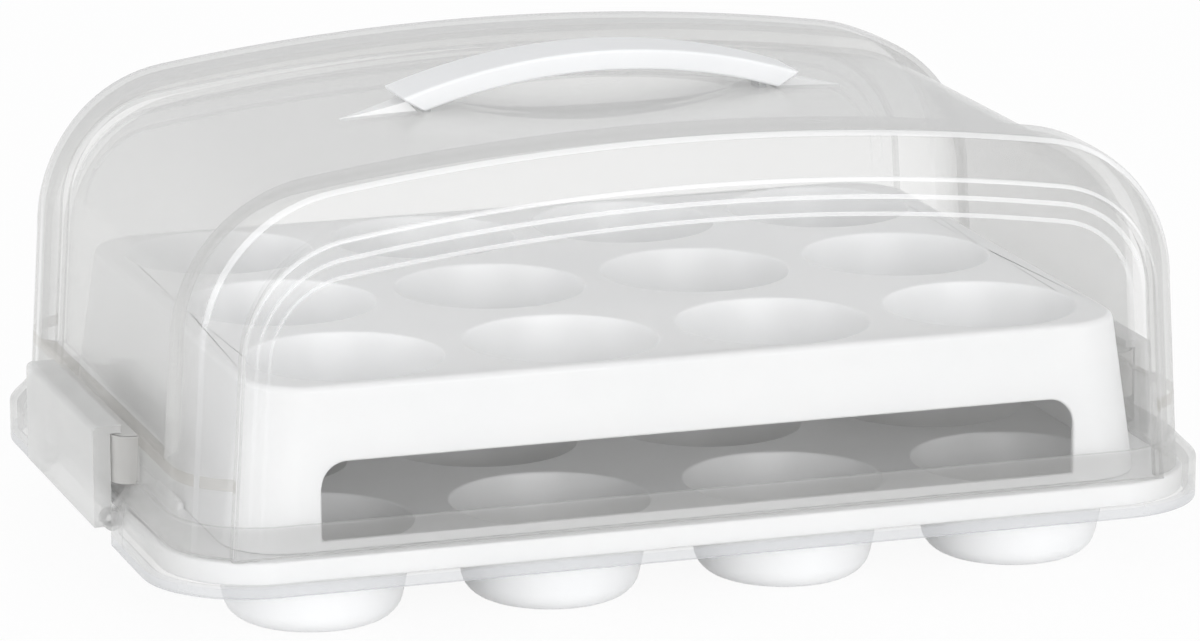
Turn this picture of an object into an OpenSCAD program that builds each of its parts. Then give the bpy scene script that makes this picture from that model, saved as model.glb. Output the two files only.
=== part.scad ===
// Two-tier cupcake carrier: a base tray on twelve cups, a second tray with a
// skirt, a smoke-clear arched lid with a carry strap, and two end clips.
// Millimetres, +Z up, long side along X. The cup bottoms stand on z = 0.

/* [Base tray] */
// Height of the deck that the cups hang from
deck_z = 32.5; // [30:0.5:36]
// Thickness of the tray's deck and walls
tray_wall = 2.2; // [1.6:0.1:3]
// How far the rim wall stands above the deck
rim_rise = 3; // [2:0.5:5]
// Height of the rim wall
rim_height = 14.5; // [11:0.5:20]
// Number of cups in a row
cup_count = 4; // [2:1:4]
// Number of rows of cups
row_count = 3; // [1:1:3]
// Cup spacing along the base tray
base_pitch = 84; // [78:0.5:85]
// Spacing of the rows in both trays
row_pitch = 79.5; // [74:0.5:79.5]
// Inner radius of a base cup at the deck
base_cup_r = 34.2; // [28:0.1:34.5]
// Lean of a cup's wall, in degrees
cup_lean = 12; // [4:1:14]
// Thickness of a cup's wall and floor
cup_wall = 1.6; // [1.2:0.1:2]
// Outer radius of the edge round a cup's floor
cup_edge = 9; // [5:0.5:10]

/* [Upper tray] */
// Height of the upper deck above the base deck
tier_height = 55.8; // [48:0.2:62]
// Deck beyond the outer cups at each end
upper_margin_x = 6.2; // [3:0.2:12]
// Deck beyond the outer cups at each side
upper_margin_y = 2.9; // [2.5:0.1:8]
// How much longer each end of the skirt is at its foot
skirt_flare_x = 8.2; // [7:0.2:9]
// How much deeper each side of the skirt is at its foot
skirt_flare_y = 1.6; // [0.8:0.1:2]
// Corner radius of the upper tray
upper_corner = 22; // [16:1:28]
// Round edge between deck and skirt
upper_edge = 2.2; // [1.6:0.1:2.4]
// Cup spacing along the upper tray
upper_pitch = 76; // [72:0.5:77]
// Inner radius of an upper cup at the deck
upper_cup_r = 33.2; // [28:0.1:33.4]
// Depth of an upper cup
upper_cup_depth = 22; // [16:0.5:26]
// Wall beside the window in the long walls
window_post = 21.5; // [14:0.5:45]
// Height of the window's top edge above the base deck
window_rise = 30; // [20:0.5:31.5]
// Height of the sill under the window
sill = 3.6; // [2:0.2:6]
// Radius of the window's upper corners
window_corner = 9; // [4:0.5:12]

/* [Lid] */
// Thickness of the lid
lid_wall = 2; // [1.6:0.1:2.4]
// Room between the upper tray's foot and the lid at each end
lid_gap_x = 10.8; // [8:0.2:14]
// Room between the upper tray's foot and the lid at each side
lid_gap_y = 2; // [1.2:0.1:5]
// How much each end leans out from shoulder to foot
lid_draft = 4; // [2:0.5:5]
// Height of the crown above the upper deck
cake_room = 73.2; // [62:0.2:90]
// Radius of the crown's slow arch
crown_r = 850; // [600:10:1400]
// Radius of the shoulders
shoulder_r = 55; // [45:1:62]
// Corner radius of the lid seen from above
lid_corner = 28; // [22:1:32]
// Width of the flat bevel round the front and back faces
bevel = 13; // [9:0.5:14]
// Depth of the sunk middle between the two arched bands
valley = 5; // [3:0.5:6]
// Width of a band up to the slope
band_width = 36.8; // [32:0.2:42]
// Run of the slope from the sunk middle up to a band
valley_run = 6; // [3:0.5:8]
// Height of the ledge that the clips catch, above the lid's lower edge
ledge_height = 26.1; // [22:0.1:30]
// Height of the foot along the lid's lower edge
foot_height = 10.6; // [8:0.2:12]
// How far the foot spreads from its top to its lower edge
foot_spread = 3.4; // [2.6:0.1:3.8]
// How far the foot stands beyond the wall at each end
foot_reach_x = 4.6; // [4:0.1:6]
// How far the foot stands beyond the wall at each side
foot_reach_y = 3.2; // [3:0.1:4]
// Distance from the lid's ends to the frame on the front and back faces
frame_inset = 14.5; // [12:0.5:18]
// Width of that frame at its posts
frame_width = 10; // [6:0.5:14]
// Height of that frame at its crown
frame_depth = 13.5; // [8:0.5:16]
// How far the frame's outer step stands proud; the inner step is half of it
frame_proud = 1.4; // [0.8:0.1:2]

/* [Handle] */
// Half length of the carry strap
strap_half = 73; // [66:0.5:80]
// Width of the strap
strap_width = 24; // [18:0.5:30]
// Thickness of the strap
strap_thick = 8; // [6:0.5:10]
// Height of the strap's underside above the lid at its crown
strap_gap = 8; // [6:0.5:16]
// Depth of the finger dish under the strap
dish_depth = 8; // [4:0.5:10]
// Distance from the strap's toe to the end of the finger dish
dish_margin = 9; // [8:0.5:18]
// Half width of the finger dish
dish_half_y = 27; // [20:0.5:34]

/* [Clips] */
// Width of a clip
clip_width = 95; // [70:1:110]
// Thickness of a clip's plate and lip
clip_plate = 2.6; // [2:0.1:3.2]
// Thickness of a clip's end ribs, seen from the front
clip_rib = 6; // [5:0.1:6.4]
// Height of the catch bar that the clips hook over
catch_height = 15; // [10:0.5:18]
// Radius of a clip's hinge stubs
stub_r = 1.8; // [1.4:0.1:2]
// How far the clip hinge lies below the deck
hinge_drop = 3.6; // [3.3:0.1:4.5]

/* [Clearances] */
// Gap between parts that lie beside each other
part_gap = 0.4; // [0.3:0.05:0.5]
// Gap of a hinge stub in its ear, on the radius
hinge_gap = 0.05; // [0.02:0.01:0.08]

/* [Hidden] */

white = [0.96, 0.96, 0.95];
smoke = [0.80, 0.80, 0.79, 0.5];
arc_steps = 8;
shoulder_steps = 9;
crown_steps = 4;
skin = 0.01;
over = 1;
cut_over = 5;

// Upper tray: its deck carries the cups, its skirt stands on the base deck
upper_half_x = (cup_count - 1) / 2 * upper_pitch + upper_cup_r + cup_wall + upper_margin_x;
upper_half_y = (row_count - 1) / 2 * row_pitch + upper_cup_r + cup_wall + upper_margin_y;
upper_foot_x = upper_half_x + skirt_flare_x;
upper_foot_y = upper_half_y + skirt_flare_y;
upper_deck_z = deck_z + tier_height;
window_half = upper_half_x - window_post;
window_top_z = deck_z + window_rise;

// Lid: it clears the upper tray all round, and its foot stands on the base deck
foot_z = deck_z + part_gap;
foot_top_z = foot_z + foot_height;
ledge_z = foot_z + ledge_height;
ledge_edge = 1.5;
crown_z = upper_deck_z + cake_room;
lid_half_x = upper_foot_x + lid_gap_x + lid_wall;
lid_half_y = upper_foot_y + lid_gap_y + lid_wall;
valley_half = lid_half_y - band_width - valley_run;
foot_half_x = lid_half_x + lid_draft + foot_reach_x;
foot_half_y = lid_half_y + foot_reach_y;
foot_fullness = 5;
foot_corner = lid_corner + foot_fullness;
foot_lip = 3.5;

// Base tray: its rim wall goes round the lid's foot
end_play = 0.8;
corner_play = 1.8;
rim_half_x = foot_half_x + end_play + part_gap + tray_wall;
rim_half_y = foot_half_y + part_gap + tray_wall;
rim_corner = foot_corner + corner_play + tray_wall;
rim_top_z = deck_z + rim_rise;
rim_drop_z = rim_top_z - rim_height;
deck_under_z = deck_z - tray_wall;
notch_play = 1;
notch_half = clip_width / 2 + notch_play;
notch_depth = 5.5;
notch_x = rim_half_x - notch_depth;
stop_length = 30;
stop_x = upper_foot_x + part_gap + tray_wall / 2;
stop_y = row_pitch / 2;

// Clips: the plate hangs outside the rim, its lip reaches over the catch bar
clip_stand = 5;
clip_out_x = rim_half_x + clip_stand;
clip_in_x = clip_out_x - clip_plate;
hinge_z = deck_z - hinge_drop;
clip_low_z = hinge_z - stub_r;
clip_round = 2.2;
lip_under_z = ledge_z + part_gap;
clip_top_z = lip_under_z + clip_plate;
catch_x = clip_out_x - clip_rib - part_gap;
catch_over = 4.5;
catch_half = clip_width / 2 + catch_over;
catch_round = 7;
lip_reach = 3.4;
lip_x = catch_x - lip_reach;
hinge_inset = 1.5;
hinge_x = rim_half_x - hinge_inset;
cheek = 2.6;
lobe_wall = 1.6;
lobe_r = stub_r + lobe_wall;
ear_neck = 1.2;
ear_root = 2 * lobe_r - ear_neck;
ear_width = 4.4;
ear_y = clip_width / 2 - cheek - part_gap - ear_width / 2;

// Handle: the strap's underside rises from its toes on the lid to the middle
sunk_top_z = crown_z - valley;
strap_under_z = sunk_top_z + strap_gap;
strap_toe_x = strap_half - strap_thick;
dish_half_x = strap_toe_x - dish_margin;
strap_toe_z = lid_top_z(strap_toe_x) + part_gap;
strap_rise = strap_under_z - strap_toe_z;
strap_r = (pow(strap_toe_x, 2) + pow(strap_rise, 2)) / (2 * strap_rise);
strap_end_z = strap_under_z - strap_r + sqrt(pow(strap_r + strap_thick, 2) - pow(strap_half, 2));
tongue_set = 3.5;
tongue_x = strap_toe_x - tongue_set;
tongue_root = 3;
tongue_thick = 3;
tongue_width = 14;
tongue_hook = 1.4;
ramp_flat = 3;
ramp_run = 20;
ramp_width = strap_width * 3 / 4;

// Height of the sunk middle of the lid at x
function lid_top_z(x) = sunk_top_z - crown_r + sqrt(crown_r * crown_r - x * x);

function cup_places(nx, ny, px, py) =
    [for (i = [0:nx - 1], j = [0:ny - 1]) [(i - (nx - 1) / 2) * px, (j - (ny - 1) / 2) * py]];

function arc(cx, cy, r, a0, a1, n) =
    [for (i = [0:n]) let (a = a0 + (a1 - a0) * i / n) [cx + r * cos(a), cy + r * sin(a)]];

// A rounded rectangle as a ring of points at height z
function plan_ring(hx, hy, r, z) =
    [for (p = concat(
        arc(hx - r, hy - r, r, 0, 90, arc_steps),
        arc(r - hx, hy - r, r, 90, 180, arc_steps),
        arc(r - hx, r - hy, r, 180, 270, arc_steps),
        arc(hx - r, r - hy, r, 270, 360, arc_steps))) [p[0], p[1], z]];

// A solid through rings that all have the same number of points
module loft(rings) {
    n = len(rings[0]);
    last = len(rings) - 1;
    sides = [for (k = [0:last - 1], i = [0:n - 1])
        let (a = k * n + i, b = k * n + (i + 1) % n) [a, a + n, b + n, b]];
    polyhedron(
        points = [for (ring = rings) each ring],
        faces = concat([[for (i = [0:n - 1]) i]], sides, [[for (i = [n - 1:-1:0]) last * n + i]]),
        convexity = 8);
}

// A rounded rectangle made of true arcs
module plan(hx, hy, r) {
    square([2 * hx, 2 * (hy - r)], center = true);
    square([2 * (hx - r), 2 * hy], center = true);
    for (sx = [-1, 1], sy = [-1, 1])
        translate([sx * (hx - r), sy * (hy - r)])
            circle(r = r, $fn = 72);
}

// The half section of a cup: mouth radius r at height top, leaning walls, round floor edge
function cup_section(r, top, floor_z, edge) =
    let (
        slope = tan(cup_lean),
        foot_r = r - (top - floor_z) * slope,
        t = edge * tan(45 - cup_lean / 2),
        cx = foot_r - t,
        cy = floor_z + edge)
    concat([[0, floor_z]], arc(cx, cy, edge, -90, -cup_lean, arc_steps), [[r, top], [0, top]]);

module cup_shape(r, top, floor_z, edge) {
    rotate_extrude($fn = 64)
        polygon(cup_section(r, top, floor_z, edge));
}

// ---------- base tray ----------

module base_deck() {
    difference() {
        translate([0, 0, rim_drop_z])
            linear_extrude(rim_top_z - rim_drop_z)
                plan(rim_half_x, rim_half_y, rim_corner);
        translate([0, 0, deck_z])
            linear_extrude(rim_rise + over)
                plan(rim_half_x - tray_wall, rim_half_y - tray_wall, rim_corner - tray_wall);
        difference() {
            translate([0, 0, rim_drop_z - over])
                linear_extrude(deck_under_z - rim_drop_z + over)
                    plan(rim_half_x - tray_wall, rim_half_y - tray_wall, rim_corner - tray_wall);
            for (s = [-1, 1])
                translate([s * (notch_x + over), 0, deck_z / 2])
                    cube([2 * (tray_wall + over), 2 * (notch_half + tray_wall), deck_z], center = true);
        }
        for (s = [-1, 1])
            translate([s * (notch_x + notch_depth), 0, deck_z])
                cube([2 * notch_depth, 2 * notch_half, 2 * deck_z], center = true);
    }
}

// Two ears at one end that hold a clip's stubs
module hinge_ears(side) {
    for (s = [-1, 1])
        translate([side * hinge_x, s * ear_y, hinge_z])
            rotate([90, 0, 0])
                difference() {
                    union() {
                        cylinder(r = lobe_r, h = ear_width, center = true, $fn = 48);
                        translate([-side * (hinge_x - notch_x + over) / 2, 0, 0])
                            cube([hinge_x - notch_x + over, ear_root, ear_width], center = true);
                    }
                    cylinder(r = stub_r + hinge_gap, h = ear_width + 2 * over, center = true, $fn = 48);
                }
}

// Low ribs beyond the ends of the upper tray's skirt, which keep it from sliding
module tray_stops() {
    for (sx = [-1, 1], sy = [-1, 1])
        translate([sx * stop_x, sy * stop_y, deck_z + rim_rise / 2 - skin])
            cube([tray_wall, stop_length, rim_rise], center = true);
}

module base_tray() {
    color(white) {
        difference() {
            union() {
                base_deck();
                for (p = cup_places(cup_count, row_count, base_pitch, row_pitch))
                    translate([p[0], p[1], 0])
                        cup_shape(base_cup_r + cup_wall, deck_z, 0, cup_edge);
            }
            for (p = cup_places(cup_count, row_count, base_pitch, row_pitch))
                translate([p[0], p[1], 0])
                    cup_shape(base_cup_r + over * tan(cup_lean), deck_z + over,
                        cup_wall, cup_edge - cup_wall);
        }
        hinge_ears(-1);
        hinge_ears(1);
        tray_stops();
    }
}

// ---------- upper tray ----------

function skirt_ring(z, inset) =
    let (f = (upper_deck_z - z) / (upper_deck_z - deck_z))
    plan_ring(upper_half_x + skirt_flare_x * f - inset,
        upper_half_y + skirt_flare_y * f - inset, upper_corner - inset, z);

// The skirt's outside with its round top edge
function tray_rings() = concat(
    [skirt_ring(deck_z + skin, 0)],
    [for (i = [0:3]) let (a = 30 * i)
        skirt_ring(upper_deck_z - upper_edge * (1 - sin(a)), upper_edge * (1 - cos(a)))]);

module window(side) {
    translate([0, side * upper_half_y, 0])
        rotate([90, 0, 0])
            translate([0, 0, -upper_corner / 2])
                linear_extrude(upper_corner)
                    difference() {
                        translate([-window_half, deck_z + sill])
                            square([2 * window_half, window_top_z - deck_z - sill]);
                        for (s = [-1, 1])
                            translate([s * (window_half - window_corner), window_top_z - window_corner])
                                difference() {
                                    translate([s > 0 ? 0 : -window_corner - over, 0])
                                        square(window_corner + over);
                                    circle(r = window_corner, $fn = 48);
                                }
                    }
}

module upper_tray() {
    color(white)
        difference() {
            union() {
                difference() {
                    loft(tray_rings());
                    loft([
                        skirt_ring(deck_z - over, tray_wall),
                        skirt_ring(upper_deck_z - tray_wall, tray_wall)]);
                    window(-1);
                    window(1);
                }
                for (p = cup_places(cup_count, row_count, upper_pitch, row_pitch))
                    translate([p[0], p[1], 0])
                        cup_shape(upper_cup_r + cup_wall, upper_deck_z,
                            upper_deck_z - upper_cup_depth - cup_wall, cup_edge);
            }
            for (p = cup_places(cup_count, row_count, upper_pitch, row_pitch))
                translate([p[0], p[1], 0])
                    cup_shape(upper_cup_r + over * tan(cup_lean), upper_deck_z + over,
                        upper_deck_z - upper_cup_depth, cup_edge - cup_wall);
        }
}

// ---------- lid ----------

// Height of the shoulder's centre when the arch is w wide, h high and has shoulders of radius r
function shoulder_z(w, r, h, big) = h - big + sqrt(pow(big - r, 2) - pow(w - r, 2));

// One cross-section of the lid at depth y. "side" draws the ends in, "top" lowers the arch
// and "dip" sinks what lies above the ledge.
function lid_ring(y, side, top, dip, wall, z0) =
    let (
        w = lid_half_x - side - dip - wall,
        r = shoulder_r - max(top, side / 2) - dip - wall,
        h = crown_z - top - dip - wall,
        big = crown_r - top - dip - wall,
        cz = shoulder_z(w, r, h, big),
        turn = asin((w - r) / (big - r)),
        lean = lid_draft / (cz - foot_z),
        low = lid_half_x - side - wall,
        left = concat(
            [[-low - lean * (cz - z0), z0],
             [-low - lean * (cz - ledge_z), ledge_z],
             [-low + dip - lean * (cz - ledge_z - ledge_edge), ledge_z + ledge_edge]],
            arc(r - w, cz, r, 180, 90 + turn, shoulder_steps),
            arc(0, h - big, big, 90 + turn * (crown_steps - 1) / crown_steps, 90, crown_steps - 1)),
        n = len(left))
    [for (p = concat(left, [for (i = [n - 2:-1:0]) [-left[i][0], left[i][1]]])) [p[0], y, p[1]]];

// Stations from front to back as [y, side, top, dip]
crease_angle = acos(1 - bevel / lid_corner);
corner_angles = [0, crease_angle / 4, crease_angle / 2, crease_angle * 3 / 4, crease_angle,
    crease_angle / 2 + 45, 90];
function corner_station(s, a) =
    let (y = lid_half_y - lid_corner * (1 - cos(a)))
    [s * y, lid_corner * (1 - sin(a)), max(0, bevel - (lid_half_y - y)), 0];
function lid_stations() = concat(
    [for (a = corner_angles) corner_station(-1, a)],
    [[-valley_half - valley_run, 0, 0, 0], [-valley_half, 0, 0, valley]],
    [[valley_half, 0, 0, valley], [valley_half + valley_run, 0, 0, 0]],
    [for (i = [len(corner_angles) - 1:-1:0]) corner_station(1, corner_angles[i])]);

function lid_rings(wall, z0) =
    [for (s = lid_stations())
        lid_ring(s[0] * (lid_half_y - wall) / lid_half_y, s[1], s[2], s[3], wall, z0)];

// The dish under the strap: a spindle turned about an axis along X
module dish(grow) {
    across_r = (pow(dish_half_y, 2) + pow(dish_depth, 2)) / (2 * dish_depth);
    along_r = (pow(dish_half_x, 2) + pow(dish_depth, 2)) / (2 * dish_depth);
    steps = 8;
    xs = [for (i = [-steps:steps]) dish_half_x * i / steps];
    translate([0, 0, sunk_top_z - dish_depth + across_r])
        rotate([0, 90, 0])
            rotate_extrude($fn = 96)
                polygon(concat(
                    [[0, -dish_half_x - grow]],
                    [for (x = xs) [across_r + grow - along_r + sqrt(along_r * along_r - x * x), x]],
                    [[0, dish_half_x + grow]]));
}

// One step of the frame on the front or back face: "share" of its width, standing proud
module frame_step(side, share, proud) {
    outer = lid_ring(0, frame_inset, bevel, 0, 0, foot_top_z);
    inner = lid_ring(0, frame_inset + share * frame_width, bevel + share * frame_depth,
        0, 0, foot_top_z - over);
    depth = lid_wall + proud;
    translate([0, side > 0 ? lid_half_y + proud : depth - lid_half_y - proud, 0])
        rotate([90, 0, 0])
            linear_extrude(depth)
                difference() {
                    polygon([for (p = outer) [p[0], p[2]]]);
                    polygon([for (p = inner) [p[0], p[2]]]);
                }
}

module face_frame(side) {
    frame_step(side, 1 / 2, frame_proud);
    frame_step(side, 1, frame_proud / 2);
}

// The bar along each end that a clip's lip hooks over
module catch_bar(side) {
    reach = catch_x - lid_half_x + catch_round;
    translate([side * (catch_x - reach), 0, ledge_z - catch_height])
        linear_extrude(catch_height)
            intersection() {
                plan(reach, catch_half, catch_round);
                translate([side > 0 ? catch_round : -reach, -catch_half])
                    square([reach - catch_round, 2 * catch_half]);
            }
}

// Ramps that fair the strap's ends into the lid
module strap_ramps() {
    tip_x = strap_half + ramp_run;
    for (s = [-1, 1])
        rotate([90, 0, 0])
            linear_extrude(ramp_width, center = true)
                polygon([
                    [s * (strap_toe_x + part_gap), lid_top_z(strap_toe_x) - lid_wall / 2],
                    [s * (strap_half + part_gap), strap_end_z - part_gap],
                    [s * (strap_half + ramp_flat), strap_end_z - part_gap],
                    [s * tip_x, lid_top_z(tip_x) - lid_wall / 2]]);
}

// Slots for the strap's tongues
module tongue_slots() {
    for (s = [-1, 1])
        translate([s * tongue_x, 0, sunk_top_z])
            cube([tongue_thick + part_gap, tongue_width + part_gap, 6 * lid_wall], center = true);
}

module foot() {
    loft([
        plan_ring(foot_half_x, foot_half_y, foot_corner, foot_z),
        plan_ring(foot_half_x, foot_half_y, foot_corner, foot_z + foot_lip),
        plan_ring(foot_half_x - foot_spread, foot_half_y - foot_spread,
            foot_corner - foot_spread, foot_top_z)]);
}

module lid() {
    color(smoke)
        difference() {
            union() {
                loft(lid_rings(0, foot_z));
                foot();
                face_frame(-1);
                face_frame(1);
                catch_bar(-1);
                catch_bar(1);
                strap_ramps();
            }
            difference() {
                loft(lid_rings(lid_wall, foot_z - cut_over));
                dish(lid_wall);
            }
            dish(0);
            tongue_slots();
        }
}

// ---------- handle ----------

module strap() {
    reach = 3 * strap_thick;
    lift = 3 * (strap_end_z - strap_toe_z);
    rotate([90, 0, 0])
        linear_extrude(strap_width, center = true)
            intersection() {
                translate([0, strap_under_z - strap_r])
                    difference() {
                        circle(r = strap_r + strap_thick, $fn = 180);
                        circle(r = strap_r, $fn = 180);
                    }
                polygon([
                    [-strap_toe_x, strap_toe_z],
                    [-strap_toe_x - reach, strap_toe_z + lift],
                    [strap_toe_x + reach, strap_toe_z + lift],
                    [strap_toe_x, strap_toe_z]]);
            }
}

// A snap tongue under one end of the strap: it goes through the lid and hooks below it
module tongue(side) {
    hook_x = tongue_x + tongue_thick / 2 + tongue_hook;
    hook_top_z = lid_top_z(hook_x) - lid_wall - part_gap;
    low_z = hook_top_z - 2 * tongue_hook;
    rotate([90, 0, 0])
        linear_extrude(tongue_width, center = true)
            polygon([
                [side * (tongue_x - tongue_thick / 2), strap_toe_z + tongue_root],
                [side * (tongue_x - tongue_thick / 2), low_z],
                [side * (tongue_x + tongue_thick / 2 - tongue_hook), low_z],
                [side * hook_x, hook_top_z - tongue_hook / 2],
                [side * hook_x, hook_top_z],
                [side * (tongue_x + tongue_thick / 2), hook_top_z],
                [side * (tongue_x + tongue_thick / 2), strap_toe_z + tongue_root]]);
}

module handle() {
    color(white) {
        strap();
        tongue(-1);
        tongue(1);
    }
}

// ---------- clips ----------

// The clip's section at the right end: a plate with a lip, and the place of the end ribs
module clip_section(inner_x) {
    polygon(concat(
        [[clip_out_x, clip_low_z]],
        arc(clip_out_x - clip_round, clip_top_z - clip_round, clip_round, 0, 90, arc_steps),
        [[lip_x, clip_top_z], [lip_x, lip_under_z], [inner_x, lip_under_z], [inner_x, clip_low_z]]));
}

module clip_body() {
    rotate([90, 0, 0])
        linear_extrude(clip_width, center = true)
            clip_section(clip_in_x);
    for (s = [-1, 1])
        translate([0, s * (clip_width - cheek) / 2, 0])
            rotate([90, 0, 0])
                linear_extrude(cheek, center = true) {
                    clip_section(clip_out_x - clip_rib);
                    translate([hinge_x, hinge_z])
                        circle(r = lobe_r, $fn = 48);
                    translate([hinge_x, hinge_z])
                        square([clip_in_x - hinge_x, lobe_r]);
                }
    for (s = [-1, 1])
        translate([hinge_x, s * (clip_width / 2 - cheek - ear_width / 2), hinge_z])
            rotate([90, 0, 0])
                cylinder(r = stub_r, h = ear_width, center = true, $fn = 48);
}

module clip_left() {
    color(smoke)
        mirror([1, 0, 0])
            clip_body();
}

module clip_right() {
    color(smoke)
        clip_body();
}

base_tray();
upper_tray();
lid();
handle();
clip_left();
clip_right();
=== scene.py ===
"""Two-tier cake carrier: white cup trays under a smoke-clear arched lid with a bridge handle.

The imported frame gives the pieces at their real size. This script gives them their
moulded finishes. The lid and the handle are modelled again as fine meshes that stand for
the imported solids, and the base tray is a copy of its solid whose rim is drawn in, so that
the lid's clear skirt hangs outside it. Lengths in the classes are millimetres, and the
meshes are in metres.
"""

import logging
import math
from collections.abc import Callable
from dataclasses import dataclass, field
from enum import IntEnum

import bmesh
import bpy
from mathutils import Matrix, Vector


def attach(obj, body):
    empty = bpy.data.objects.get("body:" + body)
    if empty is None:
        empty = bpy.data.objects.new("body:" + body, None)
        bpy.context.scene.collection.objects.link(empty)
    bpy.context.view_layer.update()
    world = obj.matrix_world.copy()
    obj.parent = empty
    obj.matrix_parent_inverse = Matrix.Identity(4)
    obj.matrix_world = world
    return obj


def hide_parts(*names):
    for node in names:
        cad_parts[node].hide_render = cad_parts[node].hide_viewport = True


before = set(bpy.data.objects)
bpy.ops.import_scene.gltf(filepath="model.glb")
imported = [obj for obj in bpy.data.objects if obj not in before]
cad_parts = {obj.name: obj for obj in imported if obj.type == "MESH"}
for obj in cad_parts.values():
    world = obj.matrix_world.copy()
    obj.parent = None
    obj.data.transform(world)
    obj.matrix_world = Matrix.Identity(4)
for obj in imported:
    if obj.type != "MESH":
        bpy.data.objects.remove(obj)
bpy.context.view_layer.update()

MM = 0.001

log = logging.getLogger("cake_carrier")

Point = tuple[float, float, float]
Flat = tuple[float, float]
Station = tuple[float, float, float, float]


# ---------- shader maths ----------


class Value:
    """A number socket that takes Python's operators, each of which adds a Math node."""

    def __init__(self, tree: "Tree", socket: bpy.types.NodeSocket) -> None:
        """Wraps one socket.

        Args:
            tree: The node tree that new nodes go into.
            socket: The output that is wrapped.
        """
        self.tree = tree
        self.socket = socket

    def _math(self, operation: str, first: object, second: object) -> "Value":
        """One Math node."""
        return self.tree.node("ShaderNodeMath", {"operation": operation}, {0: first, 1: second})

    def __add__(self, other: object) -> "Value":
        """self + other."""
        return self._math("ADD", self, other)

    def __radd__(self, other: object) -> "Value":
        """other + self."""
        return self._math("ADD", other, self)

    def __mul__(self, other: object) -> "Value":
        """self * other."""
        return self._math("MULTIPLY", self, other)

    def __rmul__(self, other: object) -> "Value":
        """other * self."""
        return self._math("MULTIPLY", other, self)

    def __pow__(self, other: object) -> "Value":
        """self ** other."""
        return self._math("POWER", self, other)


class Tree:
    """The node tree of one material, with a Principled shader at its end."""

    def __init__(self, name: str) -> None:
        """Makes an empty material.

        Args:
            name: The material's name.
        """
        self.material = bpy.data.materials.new(name)
        self.material.use_nodes = True
        self.nodes = self.material.node_tree.nodes
        self.links = self.material.node_tree.links
        self.nodes.clear()
        self.output = self.nodes.new("ShaderNodeOutputMaterial")
        self.shader = self.nodes.new("ShaderNodeBsdfPrincipled")
        self.links.new(self.shader.outputs[0], self.output.inputs[0])

    def node(self, kind: str, settings: dict | None = None, inputs: dict | None = None,
             output: int | str = 0) -> Value:
        """Adds one node.

        Args:
            kind: The node's type name.
            settings: Its properties, set before its sockets.
            inputs: Socket name or index to a number, tuple or Value.
            output: The output that is returned.

        Returns:
            The wrapped output.
        """
        made = self.nodes.new(kind)
        for key, value in (settings or {}).items():
            setattr(made, key, value)
        for key, value in (inputs or {}).items():
            if isinstance(value, Value):
                self.links.new(value.socket, made.inputs[key])
            else:
                made.inputs[key].default_value = value
        return Value(self, made.outputs[output])

    def ramp(self, value: Value, low: float, high: float) -> Value:
        """A number that goes from 0 at low to 1 at high and stays within these."""
        return self.node("ShaderNodeMapRange", {"clamp": True},
                         {"Value": value, "From Min": low, "From Max": high})

    def blend(self, factor: Value, first: tuple, second: tuple) -> Value:
        """A colour between two, by a factor."""
        return self.node("ShaderNodeMix", {"data_type": "RGBA"},
                         {0: factor, 6: (*first, 1.0), 7: (*second, 1.0)}, output=2)

    def noise(self, size_mm: float, detail: float = 3.0, stretch: tuple = (1, 1, 1)) -> Value:
        """Noise with spots of about this size on the object.

        Args:
            size_mm: The spots' size.
            detail: How many finer layers it has.
            stretch: How much longer the spots are along each axis.

        Returns:
            The noise's level, about 0.5 on average.
        """
        place = self.node("ShaderNodeTexCoord", output="Object")
        scaled = self.node("ShaderNodeMapping", None,
                           {"Vector": place, "Scale": tuple(1 / s for s in stretch)})
        return self.node("ShaderNodeTexNoise", None,
                         {"Vector": scaled, "Scale": 1 / (size_mm * MM), "Detail": detail})

    def bump(self, height: Value, depth_mm: float, strength: float) -> Value:
        """A normal bumped by a height."""
        return self.node("ShaderNodeBump", None,
                         {"Strength": strength, "Distance": depth_mm * MM, "Height": height})

    def set(self, **sockets: object) -> None:
        """Sets the shader's sockets; underscores stand for the spaces in a socket's name."""
        for key, value in sockets.items():
            socket = self.shader.inputs[key.replace("_", " ")]
            if isinstance(value, Value):
                self.links.new(value.socket, socket)
            else:
                socket.default_value = value


# ---------- finishes ----------


@dataclass(frozen=True)
class MouldedWhite:
    """Opaque white plastic with a satin mould texture.

    Attributes:
        name: The material's name.
        white: Its colour where it is cleanest.
        shade: Its colour in the faint clouds of the moulding.
        gloss: The lowest roughness.
        dull: The highest roughness.
        grain_mm: Size of the mould texture's spots.
        grain_depth_mm: Depth of that texture.
        glow: How much of the light travels in the plastic.
        glow_mm: How far it travels.
    """

    name: str
    white: tuple = (0.925, 0.93, 0.935)
    shade: tuple = (0.905, 0.91, 0.915)
    gloss: float = 0.3
    dull: float = 0.42
    grain_mm: float = 0.9
    grain_depth_mm: float = 0.02
    glow: float = 0.5
    glow_mm: float = 2.5

    def material(self) -> bpy.types.Material:
        """Builds the material."""
        tree = Tree(self.name)
        clouds = tree.noise(45, 2)
        grain = tree.noise(self.grain_mm, 2)
        sweep = tree.noise(14, 3, (4, 1, 1))
        rough = self.gloss + (self.dull - self.gloss) * (0.55 * sweep + 0.45 * grain)
        tree.set(Base_Color=tree.blend(tree.ramp(clouds, 0.38, 0.62), self.shade, self.white),
                 Roughness=rough, IOR=1.49, Subsurface_Weight=self.glow,
                 Subsurface_Radius=(1.0, 1.0, 1.0), Subsurface_Scale=self.glow_mm * MM,
                 Normal=tree.bump(grain, self.grain_depth_mm, 0.25))
        return tree.material


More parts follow.
